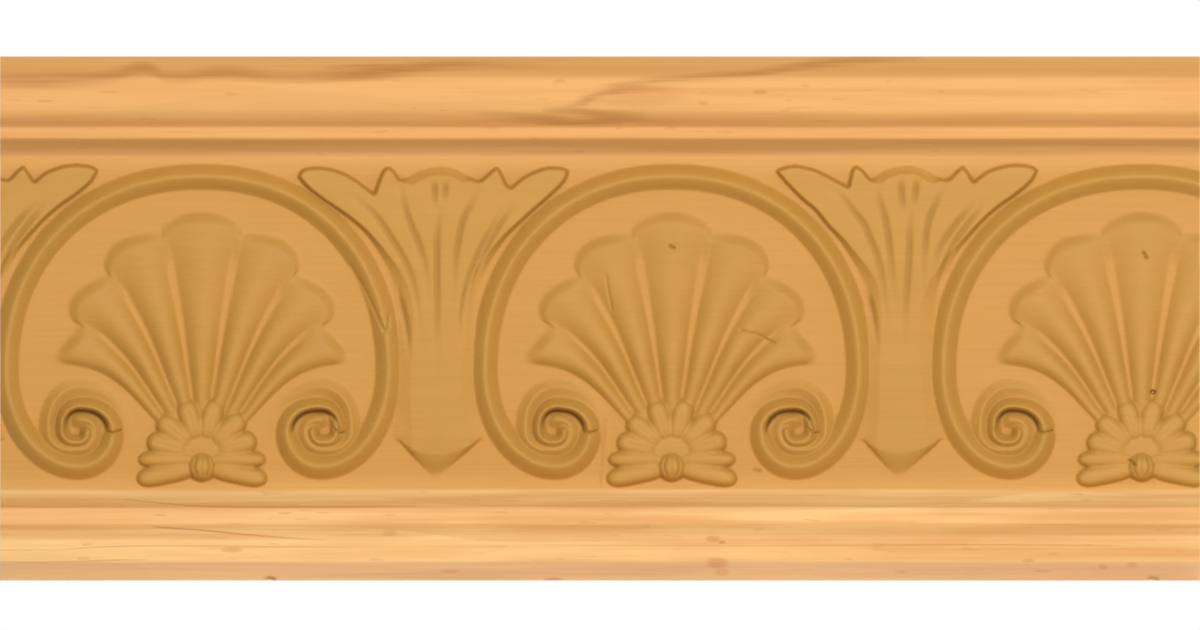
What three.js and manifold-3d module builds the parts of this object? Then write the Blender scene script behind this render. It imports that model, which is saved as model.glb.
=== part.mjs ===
// Acanthus and shell frieze moulding in pressed pine. Millimetres, +Z up.
// X runs along the length, the front faces -Y and the flat back lies in the plane y = 0,
// with the origin at the centre of the back. Both ends are cut square.

import * as THREE from 'three';
import { mergeVertices } from 'three/addons/utils/BufferGeometryUtils.js';
import Module from 'manifold-3d';

const wasm = await Module();
wasm.setup();

// Board and band
const boardLength = 203.8;
const boardThickness = 19;
const bandHeight = 56.5;

// Rails: heights of the steps, from the outer edge of the board in to the band
const upperRail = { bevel: 3.7, face: 5.4, roll: 2.9, fillet: 1.9, cove: 3.2 };
const lowerRail = { bevel: 3.2, face: 4.2, roll: 2.2, fillet: 2.7, cove: 3.1 };

// Depths that both rails share
const bevelDepth = 2.6;
const rollDepth = 2.4;
const coveDepth = 2.7;
const curveSharpness = 1.6;

// Spacing of the pattern, and the place of one shell along the board
const pitch = 79.8;
const shellPlace = 12.2;

// Relief above the ground of the band
const strapRise = 1.9;
const strapCrest = 0.9;
const strapRun = 1.95;
const scrollRun = 1.15;
const scrollCrest = 0.5;
const ringRise = 1.45;
const ringFade = 0.3;
const leafRise = 1.4;
const leafEdge = 0.95;
const veinDepth = 0.55;
const shellRise = 1.5;
const shellEdge = 1.6;
const shellGapRise = 0.12;
const wingRise = 1.7;
const petalRise = 2.3;
const heartRise = 1.9;
const knotRise = 2.4;
const footDepth = 0.6;

// Shares of the pitch (across) and of the band height (up), arch by arch as the cutter left them
const archSpans = [
  { left: 0.396, right: 0.379, leftEye: 0.262, rightEye: 0.260 },
  { left: 0.398, right: 0.394, leftEye: 0.247, rightEye: 0.262 },
  { left: 0.415, right: 0.390, leftEye: 0.279, rightEye: 0.262 },
];
const stemLeans = [-0.003, -0.017, -0.004];
const archApex = 0.9414;
const archWaist = 0.36;
const archFullness = 2.15;
const archSteps = 13;
const waistSteps = 6;
const eyeLevel = 0.177;
// Radii at each quarter turn, as shares of the band height
const strapTurns = [0.108, 0.102, 0.0736, 0.051, 0.034, 0.026];
const ringTurns = [0.034, 0.048, 0.056, 0.092, 0.132, 0.140];
const stepsPerTurn = 14;
const stepsPerLength = 7;
// Share of the ring over which it comes up to its full rise, and of the strap over which it narrows
const ringFadeShare = 0.45;
const strapNarrowing = { from: 0.08, to: 0.24 };

// Derived places
const upperRailHeight = sum(upperRail);
const lowerRailHeight = sum(lowerRail);
const boardHeight = upperRailHeight + bandHeight + lowerRailHeight;
const bandBottom = lowerRailHeight - boardHeight / 2;
const groundDepth = boardThickness - rollDepth - coveDepth;

function sum(steps) {
  return Object.values(steps).reduce((total, step) => total + step, 0);
}

// A point of the relief: across and up in the plane of the band, rise out of its ground
function reliefPoint(across, up, rise) {
  return [across, -(groundDepth + rise), bandBottom + up];
}

// Closed solid from shared vertices and triangles, turned so that its faces point out
function solidFrom(points, triangles) {
  let volume = 0;
  for (const [a, b, c] of triangles) {
    const corner = new THREE.Vector3(...points[a]);
    const edge = new THREE.Vector3(...points[b]).cross(new THREE.Vector3(...points[c]));
    volume += corner.dot(edge);
  }
  const turned = volume < 0 ? triangles.map(([a, b, c]) => [a, c, b]) : triangles;
  return new wasm.Manifold(new wasm.Mesh({
    numProp: 3,
    vertProperties: Float32Array.from(points.flat()),
    triVerts: Uint32Array.from(turned.flat()),
  }));
}

// Closed solid from a three.js geometry
function solidFromGeometry(geometry) {
  geometry.deleteAttribute('normal');
  geometry.deleteAttribute('uv');
  const merged = mergeVertices(geometry, 1e-4);
  return new wasm.Manifold(new wasm.Mesh({
    numProp: 3,
    vertProperties: Float32Array.from(merged.attributes.position.array),
    triVerts: Uint32Array.from(merged.index.array),
  }));
}

// Quads between two rows of vertex numbers, closed round when the rows are loops
function stitch(lower, upper, loop) {
  const triangles = [];
  const count = loop ? lower.length : lower.length - 1;
  for (let i = 0; i < count; i++) {
    const next = (i + 1) % lower.length;
    triangles.push([lower[i], lower[next], upper[next]], [lower[i], upper[next], upper[i]]);
  }
  return triangles;
}

// Board: one profile, drawn from the back at the bottom round the front to the back at the top
function railProfile(rail, edge, inward) {
  const curveSteps = 6;
  const points = [];
  let z = edge;
  points.push([-(boardThickness - bevelDepth), z]);
  z += inward * rail.bevel;
  points.push([-boardThickness, z]);
  z += inward * rail.face;
  points.push([-boardThickness, z]);
  for (let i = 1; i <= curveSteps; i++) {
    const part = i / curveSteps;
    const depth = boardThickness - rollDepth * part ** curveSharpness;
    points.push([-depth, z + inward * rail.roll * part]);
  }
  z += inward * (rail.roll + rail.fillet);
  points.push([-(boardThickness - rollDepth), z]);
  for (let i = 1; i <= curveSteps; i++) {
    const part = i / curveSteps;
    const depth = boardThickness - rollDepth - coveDepth * (1 - (1 - part) ** curveSharpness);
    points.push([-depth, z + inward * rail.cove * part]);
  }
  return points;
}

function boardSolid() {
  const lower = railProfile(lowerRail, -boardHeight / 2, 1);
  const upper = railProfile(upperRail, boardHeight / 2, -1).reverse();
  const outline = [[0, -boardHeight / 2], ...lower, ...upper, [0, boardHeight / 2]];
  const shape = new THREE.Shape(outline.map(([y, z]) => new THREE.Vector2(y, z)));
  const geometry = new THREE.ExtrudeGeometry(shape, { depth: boardLength, bevelEnabled: false });
  // The shape's x, y and depth become the board's y, z and x
  geometry.applyMatrix4(new THREE.Matrix4().set(
    0, 0, 1, -boardLength / 2,
    1, 0, 0, 0,
    0, 1, 0, 0,
    0, 0, 0, 1,
  ));
  return solidFromGeometry(geometry);
}

// One short length of a ridge, from its cross sections
function ridgeLength(sections) {
  const rings = sections.map((section, i) => section.map((point, j) => i * section.length + j));
  const triangles = [];
  for (let i = 0; i + 1 < rings.length; i++) triangles.push(...stitch(rings[i], rings[i + 1], true));
  const first = rings[0];
  const last = rings[rings.length - 1];
  triangles.push([first[0], first[2], first[1]], [first[0], first[3], first[2]]);
  triangles.push([last[0], last[1], last[2]], [last[0], last[2], last[3]]);
  return solidFrom(sections.flat(), triangles);
}

// Gabled ridge along a path: a narrow flat crest with a slope down to the ground on both sides.
// Its lengths are joined one by one, so that a turn of a scroll can run up on the turn before it.
function ridgeSolid(path, crestAt, runAt, riseAt) {
  const sections = path.map((point, i) => {
    const before = path[Math.max(0, i - 1)];
    const after = path[Math.min(path.length - 1, i + 1)];
    const heading = new THREE.Vector2(after.x - before.x, after.y - before.y).normalize();
    const share = i / (path.length - 1);
    const crest = crestAt(share) / 2;
    const rise = riseAt(share);
    const foot = crest + runAt(share) * (rise + footDepth) / rise;
    const ring = [[-foot, -footDepth], [-crest, rise], [crest, rise], [foot, -footDepth]];
    return ring.map(([side, height]) => (
      reliefPoint(point.x - heading.y * side, point.y + heading.x * side, height)
    ));
  });
  let whole = ridgeLength(sections.slice(0, stepsPerLength + 1));
  for (let start = stepsPerLength; start + 1 < sections.length; start += stepsPerLength) {
    whole = whole.add(ridgeLength(sections.slice(start, start + stepsPerLength + 1)));
  }
  return whole;
}

// Turns of a scroll from its start angle, with the radius eased between quarter turns
function turnPoints(eye, side, startTurn, radii) {
  const turns = (radii.length - 1) / 4;
  const count = Math.round(turns * stepsPerTurn);
  const points = [];
  for (let i = 0; i <= count; i++) {
    const quarter = (i / count) * (radii.length - 1);
    const low = Math.min(Math.floor(quarter), radii.length - 2);
    const part = quarter - low;
    const ease = part * part * (3 - 2 * part);
    const radius = THREE.MathUtils.lerp(radii[low], radii[low + 1], ease) * bandHeight;
    const angle = startTurn + quarter * Math.PI / 2;
    points.push(new THREE.Vector2(
      eye.x + side * radius * Math.cos(angle),
      eye.y - radius * Math.sin(angle),
    ));
  }
  return points;
}

// One half of a strap's crest: over the arch from its apex, down the side and round the scroll
function strapHalf(span, eyePlace, side) {
  const halfSpan = span * pitch;
  const waist = archWaist * bandHeight;
  const rise = archApex * bandHeight - waist;
  const eye = new THREE.Vector2(side * eyePlace * pitch, eyeLevel * bandHeight);
  const points = [];
  for (let i = 0; i <= archSteps; i++) {
    const angle = (i / archSteps) * Math.PI / 2;
    points.push(new THREE.Vector2(
      side * halfSpan * Math.sin(angle) ** (2 / archFullness),
      waist + rise * Math.cos(angle) ** (2 / archFullness),
    ));
  }
  // Below the waist a quarter of an ellipse runs in to the foot of the scroll
  const inset = halfSpan - Math.abs(eye.x);
  const drop = waist - (eye.y - strapTurns[0] * bandHeight);
  for (let i = 1; i < waistSteps; i++) {
    const angle = (i / waistSteps) * Math.PI / 2;
    points.push(new THREE.Vector2(
      eye.x + side * inset * Math.cos(angle),
      waist - drop * Math.sin(angle),
    ));
  }
  return points.concat(turnPoints(eye, side, Math.PI / 2, strapTurns));
}

function strapSolid(spans) {
  const left = strapHalf(spans.left, spans.leftEye, -1);
  const right = strapHalf(spans.right, spans.rightEye, 1);
  const path = [...left.reverse(), ...right.slice(1)];
  // The last turns at both ends are narrower than the arch between them
  const { from, to } = strapNarrowing;
  const narrowing = share => THREE.MathUtils.smoothstep(0.5 - Math.abs(share - 0.5), from, to);
  return ridgeSolid(
    path,
    share => THREE.MathUtils.lerp(scrollCrest, strapCrest, narrowing(share)),
    share => THREE.MathUtils.lerp(scrollRun, strapRun, narrowing(share)),
    () => strapRise,
  );
}

// Ring between the turns of a scroll, from the eye out to where it fades above the scroll.
// It leaves the eye towards the shell, so it winds the same way round as the strap.
function ringSolid(eyePlace, side) {
  const eye = new THREE.Vector2(side * eyePlace * pitch, eyeLevel * bandHeight);
  const path = turnPoints(eye, -side, -Math.PI / 2, ringTurns).reverse();
  const fade = share => THREE.MathUtils.smoothstep(share, 0, ringFadeShare);
  return ridgeSolid(
    path,
    () => scrollCrest,
    () => scrollRun,
    share => THREE.MathUtils.lerp(ringFade, ringRise, fade(share)),
  );
}

// Shell: rounded ribs that fan out of one point, with narrow gaps down to the ground between them
const gapBend = 0.13;
const shellRoot = 0.105;
const shellInner = 0.12;
const gapAngles = [-58.6, -44.1, -27.7, -10.2, 10.2, 27.7, 44.1, 58.6];
// Each rib as shares of its angle from gap to gap, and of its length from the root to the rim
const gapShare = 0.07;
const ribParts = [0, gapShare, 0.24, 0.5, 0.76, 1 - gapShare];
const ribRows = [0, 0.25, 0.5, 0.75, 0.95];
const ribFullness = 0.8;
const valleyRadii = [0.508, 0.565, 0.634, 0.696, 0.696, 0.634, 0.565, 0.508];
const lobeRadii = [0.544, 0.631, 0.703, 0.742, 0.703, 0.631, 0.544];

function shellSolid() {
  const columns = [];
  for (let lobe = 0; lobe < lobeRadii.length; lobe++) {
    for (const part of ribParts) columns.push({ lobe, part });
  }
  columns.push({ lobe: lobeRadii.length - 1, part: 1 });
  const points = [];
  const grid = columns.map(({ lobe, part }) => {
    const angle = THREE.MathUtils.lerp(gapAngles[lobe], gapAngles[lobe + 1], part);
    const valley = THREE.MathUtils.lerp(valleyRadii[lobe], valleyRadii[lobe + 1], part);
    const bulge = Math.sqrt(Math.sin(Math.PI * part));
    const rim = (valley + (lobeRadii[lobe] - valley) * bulge) * bandHeight;
    const swell = Math.min(1, Math.max(0, (part - gapShare) / (1 - 2 * gapShare)));
    const crest = THREE.MathUtils.lerp(shellGapRise, shellRise, Math.sin(Math.PI * swell) ** ribFullness);
    const inner = shellInner * bandHeight;
    const at = (radius, rise) => {
      const reach = Math.min(1, (radius - inner) / (rim - inner));
      const bend = 1 - gapBend * Math.sin(Math.PI * reach);
      const turn = THREE.MathUtils.degToRad(angle * bend);
      points.push(reliefPoint(
        radius * Math.sin(turn),
        shellRoot * bandHeight + radius * Math.cos(turn),
        rise,
      ));
      return points.length - 1;
    };
    const crown = ribRows.map(row => at(THREE.MathUtils.lerp(inner, rim - shellEdge, row), crest));
    return [at(inner, -footDepth), ...crown, at(rim, -footDepth)];
  });
  const triangles = [];
  for (let i = 0; i + 1 < grid.length; i++) triangles.push(...stitch(grid[i], grid[i + 1], false));
  const first = grid[0];
  const last = grid[grid.length - 1];
  for (let i = 1; i + 1 < first.length; i++) {
    triangles.push([first[0], first[i + 1], first[i]], [last[0], last[i], last[i + 1]]);
  }
  for (let i = 0; i + 1 < grid.length; i++) {
    const near = grid[i];
    const far = grid[i + 1];
    const end = near.length - 1;
    triangles.push([near[0], far[0], far[end]], [near[0], far[end], near[end]]);
  }
  return solidFrom(points, triangles);
}

// Small petal: a long low dome, its foot sunk in the ground
function petalSolid(across, up, halfLength, halfWidth, angle, rise) {
  const geometry = new THREE.SphereGeometry(1, 9, 6);
  geometry.applyMatrix4(new THREE.Matrix4().makeRotationX(Math.PI / 2));
  geometry.applyMatrix4(new THREE.Matrix4().makeScale(halfLength, 1, halfWidth));
  const tilt = new THREE.Matrix4().makeRotationY(-angle);
  geometry.applyMatrix4(tilt.premultiply(new THREE.Matrix4().makeScale(1, rise, 1)));
  const [x, y, z] = reliefPoint(across, up, 0);
  geometry.translate(x, y, z);
  return solidFromGeometry(geometry);
}

// Palmette at the root of the shell: a fan of petals above a bow with a knot.
// Places and half sizes are shares of the band height, turns are in degrees.
const fan = { count: 6, across: 0.110, up: 0.086, root: 0.126, spread: 82, length: 0.058, width: 0.034 };
const fanHeart = { across: 0, up: 0.120, length: 0.110, width: 0.065, turn: 0 };
const upperWing = { across: 0.098, up: 0.088, length: 0.094, width: 0.026, turn: 0 };
const lowerWing = { across: 0.102, up: 0.046, length: 0.090, width: 0.033, turn: -11 };
const knot = { across: 0, up: 0.075, length: 0.050, width: 0.050, turn: 0 };

function palmetteSolids() {
  const petal = (form, side, rise) => petalSolid(
    side * form.across * bandHeight,
    form.up * bandHeight,
    form.length * bandHeight,
    form.width * bandHeight,
    side * THREE.MathUtils.degToRad(form.turn),
    rise,
  );
  const petals = [petal(fanHeart, 1, heartRise), petal(knot, 1, knotRise)];
  for (let i = 0; i < fan.count; i++) {
    const turn = THREE.MathUtils.lerp(-fan.spread, fan.spread, i / (fan.count - 1));
    const angle = THREE.MathUtils.degToRad(turn);
    petals.push(petal({
      across: fan.across * Math.sin(angle),
      up: fan.root + fan.up * Math.cos(angle),
      length: fan.length,
      width: fan.width,
      turn: 90 - turn,
    }, 1, petalRise));
  }
  for (const side of [-1, 1]) {
    petals.push(petal(upperWing, side, wingRise), petal(lowerWing, side, wingRise));
  }
  return petals;
}

// Acanthus leaf: half of its top edge, from the centre to the tip of the outer leaflet
const leafTop = [
  [0, 0.979], [0.043, 0.973], [0.081, 0.940], [0.1085, 0.982], [0.128, 0.910],
  [0.166, 0.955], [0.225, 0.979], [0.283, 0.961],
];
// Half widths of the leaf from its stem's foot up to that tip
const leafSide = [
  [0.087, 0.141], [0.085, 0.210], [0.0766, 0.300], [0.0723, 0.390], [0.070, 0.511],
  [0.081, 0.571], [0.113, 0.661], [0.155, 0.766], [0.198, 0.841], [0.262, 0.916], [0.283, 0.961],
];
const leafFoot = { centre: 0.114, corner: 0.141, tip: 0.036, inner: 0.171, ledge: 0.161, nose: 0.071 };
// Shares of the leaf's half width where its veins and folds run, with their heights in vein depths
const leafColumns = [0, 0.152, 0.286, 0.383, 0.452, 0.587, 0.795, 1];
const leafFolds = [0.2, -1, -1, 0.4, -1, 0.6, 0.6, 0];
const leafFoldRise = { from: 0.25, to: 0.95 };
const leafFootNarrowing = 0.8;
const leafNoseRise = 0.65;

function along(outline, key, value, wanted) {
  for (let i = 0; i + 1 < outline.length; i++) {
    const [low, high] = [outline[i], outline[i + 1]];
    if (value <= high[key] || i + 2 === outline.length) {
      const part = (value - low[key]) / (high[key] - low[key]);
      return THREE.MathUtils.lerp(low[wanted], high[wanted], part);
    }
  }
  return outline[0][wanted];
}

function leafSolid(lean) {
  const sideTop = leafSide[leafSide.length - 1];
  const rows = leafSide.map(([, up]) => (up - leafFoot.corner) / (sideTop[1] - leafFoot.corner));
  const points = [];
  const columnPoints = (side, column, index) => {
    const topUp = along(leafTop, 0, column * sideTop[0], 1);
    const footUp = THREE.MathUtils.lerp(leafFoot.centre, leafFoot.corner, column * column);
    const outer = index === leafColumns.length - 1;
    const at = (row, inset, rise) => {
      const level = THREE.MathUtils.lerp(leafFoot.corner, sideTop[1], row);
      const width = along(leafSide, 1, level, 0) * pitch - (outer ? inset : 0);
      const up = THREE.MathUtils.lerp(footUp, topUp, row) * bandHeight;
      const shift = lean * pitch * (1 - row);
      points.push(reliefPoint(side * column * width + shift, up - (row === 1 ? inset : 0), rise));
      return points.length - 1;
    };
    const crown = rows.map(row => {
      const depth = THREE.MathUtils.smoothstep(row, leafFoldRise.from, leafFoldRise.to);
      return at(row, leafEdge, leafRise + veinDepth * leafFolds[index] * depth);
    });
    const foot = rows.map(row => at(row, 0, -footDepth));
    return { crown, foot };
  };
  const left = leafColumns.map((column, index) => columnPoints(-1, column, index));
  const right = leafColumns.map((column, index) => columnPoints(1, column, index));
  const all = [...left.slice(1).reverse(), ...right];
  const triangles = [];
  for (let i = 0; i + 1 < all.length; i++) {
    triangles.push(...stitch(all[i].crown, all[i + 1].crown, false));
    triangles.push(...stitch(all[i + 1].foot, all[i].foot, false));
    for (const end of [0, rows.length - 1]) {
      const quad = [all[i].foot[end], all[i + 1].foot[end], all[i + 1].crown[end], all[i].crown[end]];
      const turned = end === 0 ? quad.reverse() : quad;
      triangles.push([turned[0], turned[1], turned[2]], [turned[0], turned[2], turned[3]]);
    }
  }
  triangles.push(...stitch(all[0].foot, all[0].crown, false));
  triangles.push(...stitch(all[all.length - 1].crown, all[all.length - 1].foot, false));
  return solidFrom(points, triangles);
}

// Foot of the stem: a pointed facet that slopes down to the ground
function leafFootSolid(lean) {
  const width = leafSide[0][0] * pitch;
  const ledge = width * leafFootNarrowing;
  const shift = lean * pitch;
  const at = (across, up, rise) => reliefPoint(across + shift, up * bandHeight, rise);
  const points = [
    at(-width, leafFoot.corner, -footDepth), at(0, leafFoot.tip, -footDepth),
    at(width, leafFoot.corner, -footDepth), at(0, leafFoot.inner, -footDepth),
    at(-ledge, leafFoot.corner, leafRise), at(0, leafFoot.nose, leafNoseRise),
    at(ledge, leafFoot.corner, leafRise), at(0, leafFoot.ledge, leafRise),
  ];
  const bottom = [0, 1, 2, 3];
  const top = [4, 5, 6, 7];
  const triangles = [
    ...stitch(bottom, top, true),
    [bottom[0], bottom[2], bottom[1]], [bottom[0], bottom[3], bottom[2]],
    [top[0], top[1], top[3]], [top[1], top[2], top[3]],
  ];
  return solidFrom(points, triangles);
}

// Box that ends the carving square with the board
function endBox() {
  const room = 4 * boardThickness;
  return solidFromGeometry(new THREE.BoxGeometry(boardLength, room, 2 * boardHeight));
}

function mouldingGeometry() {
  const carving = [];
  const reach = boardLength / 2 + pitch;
  const first = Math.ceil((-reach - shellPlace) / pitch);
  const last = Math.floor((reach - shellPlace) / pitch);
  for (let step = first; step <= last; step++) {
    const place = shellPlace + step * pitch;
    const hand = THREE.MathUtils.euclideanModulo(step + 1, archSpans.length);
    const spans = archSpans[hand];
    const lean = stemLeans[hand];
    const arch = [
      strapSolid(spans), ringSolid(spans.leftEye, -1), ringSolid(spans.rightEye, 1),
      shellSolid(), ...palmetteSolids(),
    ];
    carving.push(...arch.map(solid => solid.translate([place, 0, 0])));
    const leaf = [leafSolid(lean), leafFootSolid(lean)];
    carving.push(...leaf.map(solid => solid.translate([place + pitch / 2, 0, 0])));
  }
  const box = endBox();
  let whole = boardSolid();
  for (const solid of carving) whole = whole.add(solid.intersect(box));
  const mesh = whole.getMesh();
  const geometry = new THREE.BufferGeometry();
  geometry.setAttribute('position', new THREE.BufferAttribute(mesh.vertProperties, 3));
  geometry.setIndex(new THREE.BufferAttribute(mesh.triVerts, 1));
  geometry.computeVertexNormals();
  return geometry;
}

const pine = new THREE.MeshStandardMaterial({ color: 0xd9a35f, roughness: 0.55, metalness: 0 });

const moulding = new THREE.Group();
const board = new THREE.Mesh(mouldingGeometry(), pine);
board.name = 'acanthus_moulding';
moulding.add(board);

export default moulding;
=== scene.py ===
# %% [markdown]
# # A length of pressed pine frieze moulding
#
# The real thing is trim for a cupboard or a mantel. A planed pine board goes through a moulder,
# which cuts a stepped rail along each long edge, and then under a heated steel roller, which
# presses a frieze of shells, scrolled arches and acanthus leaves into the flat band between them.
# Heat and pressure leave the pattern smooth and brown, while the rails stay pale.
#
# This lesson builds it around the imported part: a height map for the whole front, one mesh that
# takes the map's form, and one wood that knows where the roller burned it and where shade is painted on
# it.

import math

import bmesh
import bpy
import numpy as np
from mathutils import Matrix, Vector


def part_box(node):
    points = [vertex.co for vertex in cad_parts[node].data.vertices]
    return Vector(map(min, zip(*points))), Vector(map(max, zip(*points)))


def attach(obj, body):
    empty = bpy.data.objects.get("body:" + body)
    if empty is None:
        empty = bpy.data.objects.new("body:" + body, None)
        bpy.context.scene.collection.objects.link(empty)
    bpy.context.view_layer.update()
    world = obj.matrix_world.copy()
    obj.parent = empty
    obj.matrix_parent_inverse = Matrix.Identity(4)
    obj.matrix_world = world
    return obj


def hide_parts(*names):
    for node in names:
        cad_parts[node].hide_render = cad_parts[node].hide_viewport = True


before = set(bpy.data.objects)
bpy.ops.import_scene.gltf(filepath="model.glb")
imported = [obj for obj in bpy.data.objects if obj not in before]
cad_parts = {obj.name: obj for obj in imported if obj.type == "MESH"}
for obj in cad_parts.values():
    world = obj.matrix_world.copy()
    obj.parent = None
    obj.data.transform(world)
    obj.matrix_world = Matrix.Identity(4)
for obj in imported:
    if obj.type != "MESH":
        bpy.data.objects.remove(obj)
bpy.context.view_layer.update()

# %% [markdown]
# ## Sizes
#
# The pattern is drawn in millimetres for a board 89 mm high, and the frame says how long such a
# drawn millimetre is in metres. Stretch the frame and everything below follows it.
# The steps of the rails run from the outer edge of the board in to the band.

# %% Driving sizes
NODE = "acanthus_moulding"
drawn_height = 89.0
box_low, box_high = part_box(NODE)
mm = (box_high.z - box_low.z) / drawn_height
half_length = (box_high.x - box_low.x) / mm / 2
half_height = drawn_height / 2
board_thickness = (box_high.y - box_low.y) / mm

upper_rail = {"bevel": 3.7, "face": 5.4, "roll": 2.9, "fillet": 1.9, "cove": 3.2}
lower_rail = {"bevel": 3.2, "face": 4.2, "roll": 2.2, "fillet": 2.7, "cove": 3.1}
bevel_depth = 2.6
roll_depth = 2.4
cove_depth = 2.7
curve_sharpness = 1.6

band_bottom = sum(lower_rail.values()) - half_height
band_height = drawn_height - sum(lower_rail.values()) - sum(upper_rail.values())
pitch = 79.8
shell_place = 12.2
print("board", 2 * half_length, "x", drawn_height, "x", board_thickness, "mm, band", band_height)

# %% [markdown]
# The parts with free shapes, such as the leaves and the lines in the wood, are given on a
# sheet of squared paper. The board is 524 squares high on it, and places are counted across and
# down from the sheet's top left corner.

# %% The squared sheet
sheet_height = 524
square = drawn_height / sheet_height
sheet_middle = (600.0, 318.5)


def on_board(points):
    """Places on the squared sheet as millimetres across and up from the middle of the board."""
    points = np.asarray(points, float)
    return (points - sheet_middle) * (square, -square)


print("one square is", round(square, 4), "mm")

# %% [markdown]
# ## A height map for the front
#
# Carving like this could be sculpted by hand, or built from dozens of small solids. A height map
# is closer to how the roller works: every point of the front has one depth, and a mark is pressed
# in where it is wanted. The map is a grid of numbers, with rows up the board and columns along it.

# %% Lay out the map
cell = 0.19
columns = int(round(2 * half_length / cell)) + 1
rows = int(round(drawn_height / cell)) + 1
across = np.linspace(-half_length, half_length, columns)
up = np.linspace(-half_height, half_height, rows)
print("map of", rows, "rows and", columns, "columns")


def smoothstep(value, start, end):
    """0 before start, 1 after end, and an eased climb between them."""
    part = np.clip((value - start) / (end - start), 0.0, 1.0)
    return part * part * (3 - 2 * part)


def patch(low_corner, high_corner):
    """The rows and columns of the map between two corners, and whether any are left."""
    first_column, last_column = np.searchsorted(across, [low_corner[0], high_corner[0]])
    first_row, last_row = np.searchsorted(up, [low_corner[1], high_corner[1]])
    there = last_column > first_column and last_row > first_row
    return slice(first_row, last_row), slice(first_column, last_column), there


def places_in(row, column):
    """Places along and up the board of the patch's cells."""
    return across[column][None, :], up[row][:, None]


def press(sheet, row, column, mark):
    """Keeps the taller of the sheet and the mark at every cell of the patch."""
    np.maximum(sheet[row, column], mark, out=sheet[row, column])


def blurred(sheet, radius):
    """The map with a soft blur of that radius in millimetres, along both directions."""
    reach = int(math.ceil(3 * radius / cell))
    weights = np.exp(-0.5 * (np.arange(-reach, reach + 1) * cell / radius) ** 2)
    weights /= weights.sum()
    for axis in (0, 1):
        room = [(reach, reach) if i == axis else (0, 0) for i in (0, 1)]
        padded = np.pad(sheet, room, mode="edge")
        sheet = sum(
            weight * np.take(padded, np.arange(sheet.shape[axis]) + i, axis)
            for i, weight in enumerate(weights)
        )
    return sheet


# %% [markdown]
# ## The rails
#
# A moulder's knife leaves the same section all along the board, so the rails are one line of
# depths, copied across every column. From the edge inwards: a bevel, a flat face, a roll that
# turns down to a narrow fillet, and a cove that drops to the ground of the band. Planed wood has
# no knife edges, so each depth is the mean over a fifth of a millimetre to either side.

# %% Depth of the rails below their crown
arris = 0.2


def rail_profile(rail):
    """Distances in from the board's edge, and the depths below the crown there."""
    part = np.linspace(0, 1, 16)
    roll_start = rail["bevel"] + rail["face"]
    cove_start = roll_start + rail["roll"] + rail["fillet"]
    roll = roll_depth * part ** curve_sharpness
    cove = roll_depth + cove_depth * (1 - (1 - part) ** curve_sharpness)
    reach = [[0, rail["bevel"]], roll_start + rail["roll"] * part, cove_start + rail["cove"] * part]
    return np.concatenate(reach), np.concatenate([[bevel_depth, 0], roll, cove])


def rails_below_crown(level):
    """Depth of the plain board at that level above or below its middle."""
    from_bottom = np.interp(half_height + level, *rail_profile(lower_rail))
    from_top = np.interp(half_height - level, *rail_profile(upper_rail))
    return np.minimum(from_bottom, from_top)


offsets = np.linspace(-arris, arris, 9)
levels = np.clip(up[:, None] + offsets, -half_height, half_height)
rail_depth = rails_below_crown(levels).mean(1)
ground_depth = roll_depth + cove_depth
print("ground of the band lies", ground_depth, "mm below the rails' crown")

# %% [markdown]
# ## Marks of the roller
#
# A few kinds of mark make the whole pattern. A ridge follows a path with a slope on both sides,
# a plate is a flat shape with a sloping edge, a dome is a low oval, and a groove is a ridge upside
# down. Each is stamped into the map, and where two meet the taller or deeper one wins.

# %% Paths
path_step = 0.11


def evenly(path):
    """The same path with points at even steps, and each point's distance along it."""
    path = np.asarray(path, float)
    lengths = np.hypot(*np.diff(path, axis=0).T)
    distance = np.concatenate([[0], np.cumsum(lengths)])
    at = np.linspace(0, distance[-1], int(distance[-1] / path_step) + 2)
    return np.stack([np.interp(at, distance, path[:, i]) for i in (0, 1)], 1), at


def smooth_path(points):
    """A curve through the points, as a draughtsman's spline would run."""
    points = np.asarray(points, float)
    before = np.vstack([2 * points[0] - points[1], points[:-2]])
    start, end = points[:-1], points[1:]
    after = np.vstack([points[2:], 2 * points[-1] - points[-2]])
    part = np.linspace(0, 1, 12, endpoint=False)[None, :, None]
    before, start, end, after = (p[:, None, :] for p in (before, start, end, after))
    curve = 0.5 * (
        2 * start + (end - before) * part
        + (2 * before - 5 * start + 4 * end - after) * part ** 2
        + (3 * start - before - 3 * end + after) * part ** 3
    )
    return np.vstack([curve.reshape(-1, 2), points[-1]])


# %% Stamps
def stamp(sheet, path, flat, run, height, bulge=1.0):
    """Raises sheet to a ridge along path, flat on top. A bulge makes its slopes steeper below."""
    path, _ = evenly(path) if np.isscalar(height) else (path, None)
    flat, run, height = (np.broadcast_to(value, len(path)) for value in (flat, run, height))
    for (x, z), top, slope, rise in zip(path, flat / 2, run, height):
        reach = top + slope
        row, column, there = patch((x - reach, z - reach), (x + reach, z + reach))
        if not there:
            continue
        cell_x, cell_z = places_in(row, column)
        distance = np.hypot(cell_x - x, cell_z - z)
        press(sheet, row, column, rise * (1 - np.clip((distance - top) / slope, 0, 1) ** bulge))


def inside(outline, row, column):
    """Which cells of the patch lie inside a closed outline."""
    x, z = places_in(row, column)
    within = np.zeros((z.shape[0], x.shape[1]), bool)
    for (x0, z0), (x1, z1) in zip(outline, np.roll(outline, -1, axis=0)):
        if z0 == z1:
            continue
        crosses = (z0 > z) != (z1 > z)
        within ^= crosses & (x < (x1 - x0) * (z - z0) / (z1 - z0) + x0)
    return within


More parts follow.
